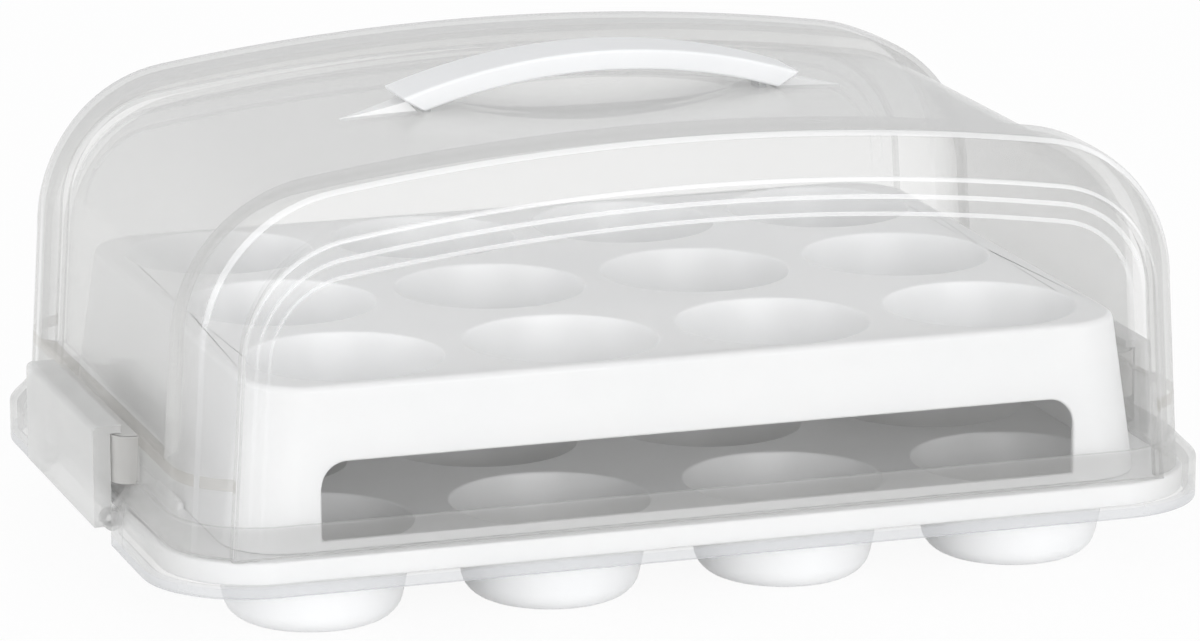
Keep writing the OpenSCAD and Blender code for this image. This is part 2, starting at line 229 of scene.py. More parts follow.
@dataclass(frozen=True)
class SmokeClear:
    """Clear, faintly smoky plastic: see-through face on and denser along its edges.

    Attributes:
        name: The material's name.
        smoke: The colour of the haze in the plastic.
        edge: The colour of the haze where the plastic is seen edge on.
        face_alpha: How much one surface hides when it is seen face on.
        edge_alpha: How much it hides edge on.
        roughness: The polish.
        fade: Heights in millimetres between which it fades in, or None.
    """

    name: str
    smoke: tuple = (0.60, 0.595, 0.58)
    edge: tuple = (0.645, 0.645, 0.635)
    face_alpha: float = 0.07
    edge_alpha: float = 0.88
    roughness: float = 0.12
    fade: Flat | None = None

    def material(self) -> bpy.types.Material:
        """Builds the material."""
        tree = Tree(self.name)
        facing = tree.node("ShaderNodeLayerWeight", None, {"Blend": 0.28}, output="Facing")
        flow = tree.noise(60, 2, (3, 1, 1))
        ripple = tree.noise(9, 2, (3, 1, 1))
        haze = self.face_alpha * (0.85 + 0.3 * flow)
        alpha = haze + (self.edge_alpha - self.face_alpha) * facing ** 1.15
        if self.fade:
            place = tree.node("ShaderNodeTexCoord", output="Object")
            height = tree.node("ShaderNodeSeparateXYZ", None, {0: place}, output="Z")
            alpha = alpha * (0.2 + 0.8 * tree.ramp(height, self.fade[0] * MM, self.fade[1] * MM))
        tree.set(Base_Color=tree.blend(facing, self.smoke, self.edge), Alpha=alpha,
                 Roughness=self.roughness + 0.1 * ripple, IOR=1.9,
                 Normal=tree.bump(ripple, 0.05, 0.06))
        return tree.material


# ---------- mesh making ----------


def arc(centre: Flat, radius: float, start: float, end: float, steps: int) -> list[Flat]:
    """Points on an arc.

    Args:
        centre: The arc's centre.
        radius: Its radius.
        start: The angle it starts at, in degrees.
        end: The angle it ends at.
        steps: How many pieces it is cut into.

    Returns:
        One point more than there are pieces.
    """
    angles = [math.radians(start + (end - start) * i / steps) for i in range(steps + 1)]
    return [(centre[0] + radius * math.cos(a), centre[1] + radius * math.sin(a)) for a in angles]


def smooth(share: float) -> float:
    """A share from 0 to 1 eased at both ends."""
    held = min(1.0, max(0.0, share))
    return held * held * (3 - 2 * held)


class Skin:
    """The vertices and faces of one piece, in millimetres, before it becomes an object.

    Each face has the number of its finish: 0 is the piece's own, and the others follow it.
    """

    def __init__(self) -> None:
        """Starts with nothing in it."""
        self.points: list[Point] = []
        self.faces: list[tuple[int, ...]] = []
        self.finishes: list[int] = []

    def face(self, numbers: list[int], flip: bool = False, finish: int = 0) -> None:
        """Adds one face through points that are already there."""
        self.faces.append(tuple(numbers[::-1] if flip else numbers))
        self.finishes.append(finish)

    def add(self, points: list[Point]) -> list[int]:
        """Adds points and returns their numbers."""
        first = len(self.points)
        self.points.extend(points)
        return list(range(first, first + len(points)))

    def strip(self, rows: list[list[Point]], closed: bool = False, flip: bool = False,
              finish: Callable[[int, int], int] | None = None) -> list[list[int]]:
        """Adds a grid of quads through rows of points.

        Args:
            rows: Rows with the same number of points.
            closed: True where each row's last point joins its first.
            flip: True to turn the faces over.
            finish: Gives a face's finish by the numbers of its row and of its place in it.

        Returns:
            The rows' point numbers.
        """
        numbers = [self.add(row) for row in rows]
        count = len(rows[0])
        for k, (low, high) in enumerate(zip(numbers, numbers[1:])):
            for i in range(count if closed else count - 1):
                j = (i + 1) % count
                self.face([low[i], low[j], high[j], high[i]], flip, finish(k, i) if finish else 0)
        return numbers

    def prism(self, outline: list[Flat], low_y: float, high_y: float, edge: float = 0.4,
              finish: int = 0, end_finish: int = 0) -> None:
        """Adds an outline in X and Z drawn out along Y, with its end edges cut off.

        Args:
            outline: The outline's points, anticlockwise in X and Z.
            low_y: Where it starts.
            high_y: Where it ends.
            edge: How much is cut off each end's edge.
            finish: The finish's number.
            end_finish: The finish's number on the cut edges.
        """
        mid_x = sum(p[0] for p in outline) / len(outline)
        mid_z = sum(p[1] for p in outline) / len(outline)
        reach = max(math.hypot(p[0] - mid_x, p[1] - mid_z) for p in outline)
        share = 1 - edge / reach
        small = [(mid_x + (x - mid_x) * share, mid_z + (z - mid_z) * share) for x, z in outline]
        rows = [[(x, y, z) for x, z in shape] for shape, y in (
            (small, low_y), (outline, low_y + edge), (outline, high_y - edge), (small, high_y))]
        edges = (lambda k, i: finish) if finish else (lambda k, i: end_finish * (k != 1))
        numbers = self.strip(rows, closed=True, finish=edges)
        self.face(numbers[0], flip=True, finish=finish)
        self.face(numbers[-1], finish=finish)

    def build(self, name: str, materials: list[bpy.types.Material],
              sharp_degrees: float = 34.0) -> bpy.types.Object:
        """Makes the object.

        Args:
            name: The piece's name.
            materials: Its finishes, in the order of their numbers.
            sharp_degrees: Edges that turn more than this stay crisp.

        Returns:
            The object, linked to the scene.
        """
        mesh = bpy.data.meshes.new(name)
        mesh.from_pydata([tuple(c * MM for c in p) for p in self.points], [], self.faces)
        made = bpy.data.objects.new(name, mesh)
        bpy.context.scene.collection.objects.link(made)
        for material in materials:
            mesh.materials.append(material)
        mesh.polygons.foreach_set("material_index", self.finishes)
        finish_mesh(made, sharp_degrees)
        return made


def finish_mesh(piece: bpy.types.Object, sharp_degrees: float) -> None:
    """Welds a piece's mesh, turns its faces outward and shades it smooth.

    Args:
        piece: The object with the mesh.
        sharp_degrees: Edges that turn more than this stay crisp.
    """
    work = bmesh.new()
    work.from_mesh(piece.data)
    bmesh.ops.remove_doubles(work, verts=work.verts, dist=0.002 * MM)
    bmesh.ops.recalc_face_normals(work, faces=work.faces)
    work.to_mesh(piece.data)
    work.free()
    for polygon in piece.data.polygons:
        polygon.use_smooth = True
    piece.data.set_sharp_from_angle(angle=math.radians(sharp_degrees))
    weight = piece.modifiers.new("even shading", "WEIGHTED_NORMAL")
    weight.keep_sharp = True


# ---------- lid ----------


class Surface(IntEnum):
    """The finishes of a clear moulding, by their number on its faces."""

    WALL = 0
    # Painted highlight: a whiter, denser haze on steps and edges.
    PAINTED_HIGHLIGHT = 1
    # Painted shade: a dark, brownish haze in the ledge's groove.
    PAINTED_SHADE = 2
    BEAD = 3
    BAR = 4


# Heights between which the painted highlight on the lid's edges fades in.
PAINTED_HIGHLIGHT_FADE = (90.0, 138.0)


def clear_finishes(name: str, milk: float = 0.0) -> list[bpy.types.Material]:
    """The finishes of one clear moulding, in the order of Surface.

    Args:
        name: The moulding's name.
        milk: How much more its wall hides than the lid's does.

    Returns:
        Its wall, its edges with a painted highlight, its ledge groove with painted shade,
        its thick lower bead and its catch bars.
    """
    wall = SmokeClear(name)
    if milk:
        wall = SmokeClear(name, (0.70, 0.70, 0.69), (0.76, 0.76, 0.75), milk)
    fade = None if milk else PAINTED_HIGHLIGHT_FADE
    return [
        wall.material(),
        # The painted highlight: a whiter, denser haze on steps and edges; on the lid it fades towards the
        # bottom.
        SmokeClear(name + "_painted_highlight", (0.92, 0.92, 0.92), (0.95, 0.95, 0.95), 0.52, 0.9, 0.08, fade).material(),
        # Painted shade: a dark, brownish haze along the ledge's groove.
        SmokeClear(name + "_painted_shade", (0.42, 0.40, 0.36), (0.52, 0.50, 0.46), 0.34, 0.8, 0.15).material(),
        SmokeClear(name + "_bead", (0.60, 0.61, 0.63), (0.66, 0.67, 0.68), 0.34, 0.8, 0.1).material(),
        SmokeClear(name + "_bar", (0.72, 0.71, 0.69), (0.80, 0.80, 0.78), 0.5, 0.9, 0.12).material(),
    ]


@dataclass
class Lid:
    """The arched lid: two raised bands, a sunk middle, a ledge, frames, a foot and catches.

    Attributes:
        half_x: Half length where the shoulder starts.
        half_y: Half depth.
        crown_z: Height of the bands' crown.
        foot_z: Height of the lower edge.
    """

    half_x: float = 176.0
    half_y: float = 122.8
    wall: float = 2.0
    draft: float = 4.0
    crown_z: float = 161.5
    crown_r: float = 850.0
    shoulder_r: float = 55.0
    corner: float = 28.0
    bevel: float = 13.0
    valley: float = 5.0
    valley_half: float = 80.0
    valley_run: float = 6.0
    ledge_z: float = 59.0
    foot_z: float = 32.9
    foot_top_z: float = 43.5
    foot_half_x: float = 184.6
    skirt_half_x: float = 188.0
    skirt_half_y: float = 128.6
    skirt_corner: float = 37.0
    skirt_low_z: float = 21.0
    skirt_bend_z: float = 35.6
    skirt_wall: float = 1.8
    skirt_lean: float = 1.4
    skirt_steps: int = 16
    bead_extra: float = 0.9
    bead_top_z: float = 24.8
    clip_gap: float = 49.5
    clip_gap_slope: float = 0.6
    frame_inset: float = 14.5
    frame_width: float = 10.0
    frame_depth: float = 13.5
    frame_proud: float = 1.4
    dish_depth: float = 8.0
    dish_half_x: float = 56.0
    dish_half_y: float = 27.0
    dish_grid: float = 1.25
    catch_x: float = 186.6
    catch_half: float = 52.0
    catch_height: float = 17.0
    catch_round: float = 7.0
    strap_toe_x: float = 65.0
    ramp_reach: float = 27.0
    ramp_rise: float = 3.0
    ramp_half: float = 6.5
    play: float = 0.4
    ramp_steps: int = 10
    shoulder_steps: int = 20
    crown_steps: int = 44
    skin: Skin = field(default_factory=Skin)

    def sunk_top(self) -> float:
        """Height of the sunk middle at the centre."""
        return self.crown_z - self.valley

    def top_at(self, x: float) -> float:
        """Height of the sunk middle at x."""
        return self.sunk_top() - self.crown_r + math.sqrt(self.crown_r ** 2 - x * x)

    def dish_floor(self, x: float, y: float, grow: float) -> float:
        """Height of the finger dish at a place, or infinity beside it.

        Args:
            x: The place along the lid.
            y: The place across it.
            grow: How much larger the dish is, for the lid's inside.

        Returns:
            The height.
        """
        if abs(x) >= self.dish_half_x or abs(y) >= 1.6 * self.dish_half_y:
            return math.inf
        depth = self.dish_depth
        across = (self.dish_half_y ** 2 + depth ** 2) / (2 * depth)
        along = (self.dish_half_x ** 2 + depth ** 2) / (2 * depth)
        reach = across + grow - along + math.sqrt(along ** 2 - x * x)
        return self.sunk_top() - depth + across - math.sqrt(reach ** 2 - y * y)

    def to_dish(self, x: float, y: float, grow: float) -> float:
        """Moves a place across the lid so that one row of points lies on the dish's lip.

        Args:
            x: The place along the lid.
            y: The place across it.
            grow: How much larger the dish is, for the lid's inside.

        Returns:
            The new place across.
        """
        outer = self.dish_grid * self.dish_half_y
        if abs(y) >= outer or abs(x) >= self.dish_half_x:
            return y
        depth = self.dish_depth
        across = (self.dish_half_y ** 2 + depth ** 2) / (2 * depth)
        along = (self.dish_half_x ** 2 + depth ** 2) / (2 * depth)
        reach = across + grow - along + math.sqrt(along ** 2 - x * x)
        level = self.sunk_top() - depth + across - self.top_at(x) + grow
        lip = math.sqrt(max(0.01, reach ** 2 - level ** 2))
        held = abs(y)
        if held <= self.dish_half_y:
            return math.copysign(held * lip / self.dish_half_y, y)
        return math.copysign(lip + (held - self.dish_half_y) * (outer - lip) / (outer - self.dish_half_y), y)

    def arch(self, y: float, side: float, top: float, dip: float, wall: float) -> list[Point]:
        """One arch across the lid, from its left foot over the crown to its right foot.

        Args:
            y: Its place.
            side: How far the ends are drawn in.
            top: How far the crown is lowered.
            dip: How far what lies above the ledge is sunk.
            wall: 0 for the outside, and the lid's thickness for the inside.

        Returns:
            The arch's points, as many for any arch.
        """
        w = self.half_x - side - dip - wall
        r = self.shoulder_r - max(top, side / 2) - dip - wall
        big = self.crown_r - top - dip - wall
        centre_z = self.crown_z - self.crown_r + math.sqrt((big - r) ** 2 - (w - r) ** 2)
        turn = math.degrees(math.asin((w - r) / (big - r)))
        lean = self.draft / (centre_z - self.foot_z)
        low = self.half_x - side - wall
        steps = [(0.0, self.foot_z), (0.0, self.foot_top_z), (0.0, self.ledge_z - 3.0)]
        steps += [(share, self.ledge_z + rise) for share, rise in (
            (0.0, -1.0), (0.05, -0.3), (0.16, 0.15), (0.8, 1.1), (0.94, 1.6), (1.0, 2.5))]
        steps += [(1.0, self.ledge_z + 2.5 + (centre_z - self.ledge_z - 2.5) * i / 5) for i in range(1, 5)]
        left = [(-low - lean * (centre_z - z) + dip * share, z) for share, z in steps]
        left += arc((r - w, centre_z), r, 180, 90 + turn, self.shoulder_steps)
        left += arc((0, self.crown_z - self.crown_r), big, 90 + turn, 90, self.crown_steps)[1:]
        row = left + [(-x, z) for x, z in left[-2::-1]]
        points = []
        for x, z in row:
            over = z > centre_z
            place = self.to_dish(x, y, wall) if over and dip else y
            points.append((x, place, min(z, self.dish_floor(x, place, wall)) if over else z))
        return points

    def stations(self) -> list[Station]:
        """The arches from the front frame to the middle, as place, side, top and dip."""
        start = math.degrees(math.asin(1 - self.frame_inset / self.corner))
        crease = math.degrees(math.acos(1 - self.bevel / self.corner))
        angles = [start + (crease - start) * i / 8 for i in range(8)]
        angles += [crease - 1.2, crease + 1.2]
        angles += [crease + (90 - crease) * i / 8 for i in range(1, 9)]
        rows = []
        for a in map(math.radians, angles):
            y = self.half_y - self.corner * (1 - math.cos(a))
            rows.append((-y, self.corner * (1 - math.sin(a)), max(0.0, self.bevel - self.half_y + y), 0.0))
        edge_y = self.valley_half + self.valley_run
        rows += [(-edge_y - rise, 0.0, 0.0, 0.0) for rise in (5.0, 1.0)]
        for i in range(9):
            share = i / 8
            eased = 0.55 * share + 0.45 * smooth(share)
            rows.append((-edge_y + self.valley_run * share, 0.0, 0.0, self.valley * eased))
        far = self.valley_half - 1.5
        near = self.dish_grid * self.dish_half_y
        places = [far + (near - far) * i / 7 for i in range(8)]
        places += [near + (self.dish_half_y - near) * i / 3 for i in range(1, 4)]
        places += [self.dish_half_y * (1 - i / 12) for i in range(1, 13)]
        return rows + [(-y, 0.0, 0.0, self.valley) for y in places]

    def frame_rows(self) -> list[Station]:
        """The steps of the frame on the front face, from the flat panel to its outer edge."""
        profile = [(0.0, 1.0), (0.03, 0.985), (0.14, 0.955), (0.36, 0.925), (0.47, 0.9), (0.5, 0.88),
                   (0.5, 0.56), (0.53, 0.53), (0.68, 0.5), (0.88, 0.47), (0.97, 0.45), (1.0, 0.43),
                   (1.0, 0.1), (0.95, 0.06), (0.8, 0.025), (0.5, 0.005), (0.0, 0.0)]
        rows = []
        for rise, share in profile:
            side = self.frame_inset + share * self.frame_width
            top = self.bevel + share * self.frame_depth
            rows.append((-self.half_y - rise * self.frame_proud, side, top, 0.0))
        return rows

    def finish_at(self, row: int, place: int, rows: list[Station], count: int) -> Surface:
        """The finish of one face of the outside.

        Args:
            row: The number of the face's row.
            place: Its number along the arch.
            rows: All stations.
            count: How many points an arch has.

        Returns:
            Painted highlight for the steps of the frame and the crease of the band, painted shade for the
            ledge's groove.
        """
        low, high = sorted((abs(rows[row][0]), abs(rows[row + 1][0])))
        flat = high - low
        tops = sorted((rows[row][2], rows[row + 1][2]))
        # The frame's steps carry the painted highlight.
        if low >= self.half_y - 0.01:
            stepped = flat > 0.02 or tops[1] - tops[0] < 0.08 * self.frame_depth
            return Surface.PAINTED_HIGHLIGHT if stepped else Surface.WALL
        # The band's crease carries the painted highlight.
        if tops[0] < 0.8 and 0.2 < tops[1] < 1.6:
            return Surface.PAINTED_HIGHLIGHT
        # Faces at the ledge's groove carry the painted shade.
        along = min(place, count - 2 - place)
        return Surface.PAINTED_SHADE if 2 <= along <= 5 else Surface.WALL

    def shell(self) -> None:
        """Adds the lid's skin: its outside, its inside and the edge between them."""
        half = self.frame_rows() + self.stations()
        rows = half + [(-y, side, top, dip) for y, side, top, dip in half[-2::-1]]
        inner_y = self.half_y - self.wall
        outside = [self.arch(y, side, top, dip, 0.0) for y, side, top, dip in rows]
        inside = []
        for y, side, top, dip in rows:
            held = max(-inner_y, min(inner_y, y * inner_y / self.half_y))
            inside.append(self.arch(held, side, top, dip, self.wall))
        count = len(outside[0])
        out_numbers = self.skin.strip(outside, finish=lambda k, i: self.finish_at(k, i, rows, count))
        in_numbers = self.skin.strip(inside, flip=True)
        for numbers in (out_numbers, in_numbers):
            self.skin.face(numbers[0])
            self.skin.face(numbers[-1])
        for end in (0, -1):
            low = [row[end] for row in out_numbers]
            high = [row[end] for row in in_numbers]
            for i in range(len(low) - 1):
                self.skin.face([low[i], low[i + 1], high[i + 1], high[i]])
            a, b = out_numbers[end], in_numbers[end]
            self.skin.face([a[0], a[-1], b[-1], b[0]])

    def ring(self, run: float, z: float, inner: bool) -> list[Point]:
        """One row round the skirt, drawn in from its outer face.

        Args:
            run: How far it is drawn in.
            z: Its height.
            inner: True for the skirt's inside.

        Returns:
            The row's points; behind the clips the skirt ends above the tray's deck.
        """
        half_x, half_y = self.skirt_half_x - self.skirt_lean * run, self.skirt_half_y - run
        corner = self.skirt_corner - run
        cut, end = self.clip_gap, self.clip_gap + self.clip_gap_slope
        points = []
        for sx, sy, start in ((1, 1, 0), (-1, 1, 90), (-1, -1, 180), (1, -1, 270)):
            points += arc((sx * (half_x - corner), sy * (half_y - corner)), corner, start, start + 90,
                          self.skirt_steps)
            if sx != sy:
                points += [(sx * half_x, sy * y) for y in (end, cut, -cut, -end)]
        held_x = self.foot_half_x - (self.skirt_wall if inner else 0.0)
        row = []
        for x, y in points:
            if abs(y) <= cut:
                row.append((math.copysign(min(abs(x), held_x), x), y, max(z, self.foot_z)))
            else:
                row.append((x, y, z))
        return row

    def foot(self) -> None:
        """Adds the skirt that spreads from the wall and hangs round the tray's edge."""
        low, bend, top, wall = self.skirt_low_z, self.skirt_bend_z, self.foot_top_z, self.skirt_wall
        bead, bead_z = wall + self.bead_extra, self.bead_top_z
        outer = [(0.5, low), (0.12, low + 0.15), (0.0, low + 0.6), (0.0, bead_z),
                 (0.0, bend - 0.8), (0.2, bend), (0.8, bend + 0.9), (5.4, top - 0.7),
                 (5.8, top - 0.1), (6.3, top + 0.1)]
        inner = [(6.9, top), (6.9, top - 2.4), (wall + 0.5, bend - 0.7), (wall, bend - 1.8),
                 (wall, bead_z + 0.5), (bead, bead_z - 0.2), (bead, low + 0.5), (bead - 0.4, low)]
        rows = [self.ring(run, z, False) for run, z in outer] + [self.ring(run, z, True) for run, z in inner]
        # Row 7, the step at the top of the skirt, carries the painted highlight.
        tones = {0: Surface.BEAD, 1: Surface.BEAD, 2: Surface.BEAD, 7: Surface.PAINTED_HIGHLIGHT,
                 len(rows) - 3: Surface.BEAD, len(rows) - 2: Surface.BEAD, len(rows) - 1: Surface.BEAD}
        self.skin.strip(rows + rows[:1], closed=True, finish=lambda k, i: tones.get(k, Surface.WALL))

    def catches(self) -> None:
        """Adds the bar at each end that a clip hooks over."""
        root = self.half_x + 2.2
        r = self.catch_round
        low, high = self.ledge_z - self.catch_height, self.ledge_z
        half = self.catch_half
        plan = [(root, -half)] + arc((self.catch_x - r, r - half), r, 270, 360, 10)
        plan += arc((self.catch_x - r, half - r), r, 0, 90, 10) + [(root, half)]
        for side in (-1, 1):
            rows = []
            for z, cut in ((low, 0.5), (low + 0.5, 0.0), (high - 0.6, 0.0), (high - 0.15, 0.15),
                           (high, 0.6)):
                rows.append([(side * max(root, x - cut), y - math.copysign(cut, y), z) for x, y in plan])
            # The bar's lower edge and top edge carry the painted highlight.
            numbers = self.skin.strip(
                rows, closed=True,
                finish=lambda k, i: Surface.PAINTED_HIGHLIGHT if k in (0, 3) else Surface.BAR)
            self.skin.face(numbers[0], finish=Surface.BAR)
            self.skin.face(numbers[-1], finish=Surface.BAR)

    def ramps(self) -> None:
        """Adds the slender wedge that fairs each end of the strap into the lid."""
        for side in (-1, 1):
            rows = []
            for i in range(self.ramp_steps + 1):
                left = 1 - i / self.ramp_steps
                low_x = self.strap_toe_x + self.play + (1 - left) * (self.ramp_reach - self.play)
                base = self.top_at(low_x) - self.wall / 2
                rise = self.wall / 2 + 0.05 + self.ramp_rise * left ** 1.2
                high_x = low_x + left * rise
                half = self.ramp_half * left + 0.5
                row = [(low_x, -half, base), (high_x, -0.75 * half, base + rise),
                       (high_x, 0.75 * half, base + rise), (low_x, half, base)]
                rows.append([(side * x, y, z) for x, y, z in row])
            # The whole wedge carries the painted highlight.
            numbers = self.skin.strip(rows, closed=True, finish=lambda k, i: Surface.PAINTED_HIGHLIGHT)
            self.skin.face(numbers[0], finish=Surface.PAINTED_HIGHLIGHT)
            self.skin.face(numbers[-1], finish=Surface.PAINTED_HIGHLIGHT)

    def build(self) -> bpy.types.Object:
        """Builds the lid and lets it stand for its solid.

        Returns:
            The lid.
        """
        self.shell()
        self.foot()
        self.catches()
        self.ramps()
        lid = self.skin.build("lid_shell", clear_finishes("lid_smoke"), 16.0)
        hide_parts("lid")
        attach(lid, "cover")
        return lid


# ---------- handle ----------


@dataclass
class Handle:
    """The bridge strap on the lid, with the tongues that hold it.

    Attributes:
        finish: Its plastic.
        toe_x: Half length of its underside.
        half_x: Half length of its top.
        width: Its width.
        thick: Its thickness.
        under_z: Height of its underside in the middle.
        toe_z: Height of its underside at the ends.
    """

    finish: MouldedWhite
    toe_x: float = 65.0
    half_x: float = 73.0
    width: float = 24.0
    thick: float = 7.2
    under_z: float = 164.5
    toe_z: float = 154.41
    edge: float = 1.0
    tongue_x: float = 61.5
    tongue_thick: float = 3.0
    tongue_width: float = 8.0
    tongue_low_z: float = 152.6
    steps: int = 64
    skin: Skin = field(default_factory=Skin)

    def section(self, cut: float) -> list[Flat]:
        """The strap's section as place across and height above its underside.

        Args:
            cut: How much smaller it is all round.

        Returns:
            Its points, anticlockwise.
        """
        r = self.edge
        half, high = self.width / 2 - cut, self.thick - cut
        corners = ((half, high, 0), (-half, high, 90), (-half, cut, 180), (half, cut, 270))
        points = []
        for y, h, start in corners:
            centre = (y - math.copysign(r, y), h - r if h > self.thick / 2 else h + r)
            points += arc(centre, r, start, start + 90, 4)
        return points

    def strap(self) -> None:
        """Adds the arched strap with its slanted ends."""
        rise = self.under_z - self.toe_z
        radius = (self.toe_x ** 2 + rise ** 2) / (2 * rise)
        centre_z = self.under_z - radius
        slant = (self.half_x - self.toe_x) / self.thick
        rows = []
        for i in range(-self.steps - 1, self.steps + 2):
            held = max(-self.steps, min(self.steps, i))
            share = held / self.steps
            at_end = abs(i) > self.steps
            row = []
            for y, h in self.section(self.edge * 0.7 if at_end else 0.0):
                reach = self.toe_x + slant * h - (0.0 if at_end or abs(share) < 1 else 0.7 * self.edge)
                x = share * reach
                row.append((x, y, centre_z + math.sqrt((radius + h) ** 2 - x * x)))
            rows.append(row)
        numbers = self.skin.strip(rows, closed=True)
        self.skin.face(numbers[0])
        self.skin.face(numbers[-1])

    def tongues(self) -> None:
        """Adds the tongue under each end that goes through the lid."""
        half = self.tongue_thick / 2
        for side in (-1, 1):
            xs = sorted((side * (self.tongue_x - half), side * (self.tongue_x + half)))
            outline = [(xs[0], self.tongue_low_z), (xs[1], self.tongue_low_z),
                       (xs[1], self.toe_z + 3.0), (xs[0], self.toe_z + 3.0)]
            self.skin.prism(outline, -self.tongue_width / 2, self.tongue_width / 2)

    def build(self) -> bpy.types.Object:
        """Builds the handle and lets it stand for its solid.

        Returns:
            The handle.
        """
        self.strap()
        self.tongues()
        handle = self.skin.build("carry_strap", [self.finish.material()])
        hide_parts("handle")
        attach(handle, "cover")
        return handle


# ---------- trays ----------


def soften(piece: bpy.types.Object, edge: float, sharp_degrees: float, finish: int = -1) -> None:
    """Gives a moulding soft edges.

    Args:
        piece: The moulding.
        edge: Width of its softened edges, in millimetres.
        sharp_degrees: Edges that turn more than this are softened.
        finish: The finish's number on these edges, or -1 for their neighbours'.
    """
    weld = piece.modifiers.new("weld", "WELD")
    weld.merge_threshold = 0.004 * MM
    bevel = piece.modifiers.new("soft edges", "BEVEL")
    bevel.width = edge * MM
    bevel.segments = 2
    bevel.limit_method = "ANGLE"
    bevel.angle_limit = math.radians(sharp_degrees)
    bevel.harden_normals = False
    bevel.material = finish
    weight = piece.modifiers.new("even shading", "WEIGHTED_NORMAL")
    weight.keep_sharp = True


@dataclass
class Tray:
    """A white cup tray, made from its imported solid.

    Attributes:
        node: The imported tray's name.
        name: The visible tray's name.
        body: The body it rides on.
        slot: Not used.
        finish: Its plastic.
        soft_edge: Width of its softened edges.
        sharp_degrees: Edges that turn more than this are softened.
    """

    node: str
    name: str
    body: str
    slot: str
    finish: MouldedWhite
    soft_painted_highlight: float = 0.8
    sharp_degrees: float = 40.0

    def moved(self, x: float, y: float, z: float) -> Point:
        """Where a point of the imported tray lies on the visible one."""
        return x, y, z

    def build(self) -> bpy.types.Object:
        """Builds the tray and lets it stand for its solid.

        Returns:
            The tray.
        """
        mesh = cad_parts[self.node].data.copy()
        mesh.name = self.name
        mesh.materials.clear()
        mesh.materials.append(self.finish.material())
        tray = bpy.data.objects.new(self.name, mesh)
        bpy.context.scene.collection.objects.link(tray)
        for vertex in mesh.vertices:
            vertex.co = [c * MM for c in self.moved(*(c / MM for c in vertex.co))]
        work = bmesh.new()
        work.from_mesh(mesh)
        bmesh.ops.remove_doubles(work, verts=work.verts, dist=0.01 * MM)
        bmesh.ops.dissolve_degenerate(work, edges=work.edges, dist=0.001 * MM)
        bmesh.ops.recalc_face_normals(work, faces=work.faces)
        for face in work.faces:
            face.smooth = True
        work.to_mesh(mesh)
        work.free()
        soften(tray, self.soft_painted_highlight, self.sharp_degrees)
        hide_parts(self.node)
        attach(tray, self.body)
        return tray


@dataclass
class BaseTray(Tray):
    """The base tray, with its rim turned down inside the lid's clear skirt.

    Attributes:
        deck_z: Height of its deck.
        rim_half_x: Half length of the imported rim.
        rim_half_y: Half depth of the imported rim.
        rim_corner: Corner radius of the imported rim.
        rim_wall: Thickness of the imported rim.
        rim_low_z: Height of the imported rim's lower edge.
        notch_half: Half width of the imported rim's notch for a clip.
        edge_half_x: Half length of the turned-down edge.
        edge_half_y: Half depth of that edge.
        edge_corner: Its corner radius.
        edge_low_z: Height of its lower rim.
    """

    deck_z: float = 32.5
    rim_half_x: float = 188.0
    rim_half_y: float = 128.6
    rim_corner: float = 37.0
    rim_wall: float = 2.2
    rim_low_z: float = 21.0
    notch_half: float = 48.5
    edge_half_x: float = 182.5
    edge_half_y: float = 126.0
    edge_corner: float = 33.0
    edge_low_z: float = 24.8

    def moved(self, x: float, y: float, z: float) -> Point:
        """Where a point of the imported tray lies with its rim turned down.

        Args:
            x: The point's place along the tray.
            y: Its place across it.
            z: Its height.

        Returns:
            The point on the visible tray.
        """
        inside = self.rim_corner - self.rim_wall - 0.5
        over_x = abs(x) - self.rim_half_x + self.rim_corner
        over_y = abs(y) - self.rim_half_y + self.rim_corner
        new_x, new_y = abs(x), abs(y)
        on_rim = over_x > inside or over_y > inside or new_x > self.edge_half_x - self.rim_wall - 0.5
        if over_x > 0 and over_y > 0:
            out = math.hypot(over_x, over_y)
            on_rim = out > inside
            if on_rim:
                radius = out - self.rim_corner + self.edge_corner
                new_x = self.edge_half_x - self.edge_corner + radius * over_x / out
                new_y = self.edge_half_y - self.edge_corner + radius * over_y / out
        elif over_x > inside and new_y > self.notch_half - 0.1:
            new_x += self.edge_half_x - self.rim_half_x
        elif over_y > inside:
            new_y += self.edge_half_y - self.rim_half_y
        if on_rim and z > self.deck_z:
            z = self.deck_z
        if on_rim and z < self.rim_low_z + 0.1:
            z = self.edge_low_z
        return math.copysign(new_x, x), math.copysign(new_y, y), z


# ---------- clips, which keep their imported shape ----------


@dataclass
class Moulding:
    """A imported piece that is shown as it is, with its edges softened.

    Attributes:
        node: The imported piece's name.
        finishes: Its plastic, and that of its softened edges if it is another.
        edge: Width of its softened edges.
        sharp_degrees: Edges that turn more than this are softened.
    """

    node: str
    finishes: list[bpy.types.Material]
    edge: float = 0.5
    sharp_degrees: float = 40.0

    def build(self) -> bpy.types.Object:
        """Dresses the piece.

        Returns:
            The piece.
        """
        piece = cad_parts[self.node]
        for place in piece.material_slots:
            place.material = self.finishes[0]
        for material in self.finishes[len(piece.material_slots):]:
            piece.data.materials.append(material)
        soften(piece, self.edge, self.sharp_degrees, len(self.finishes) - 1 or -1)
        return piece


# ---------- studio ----------


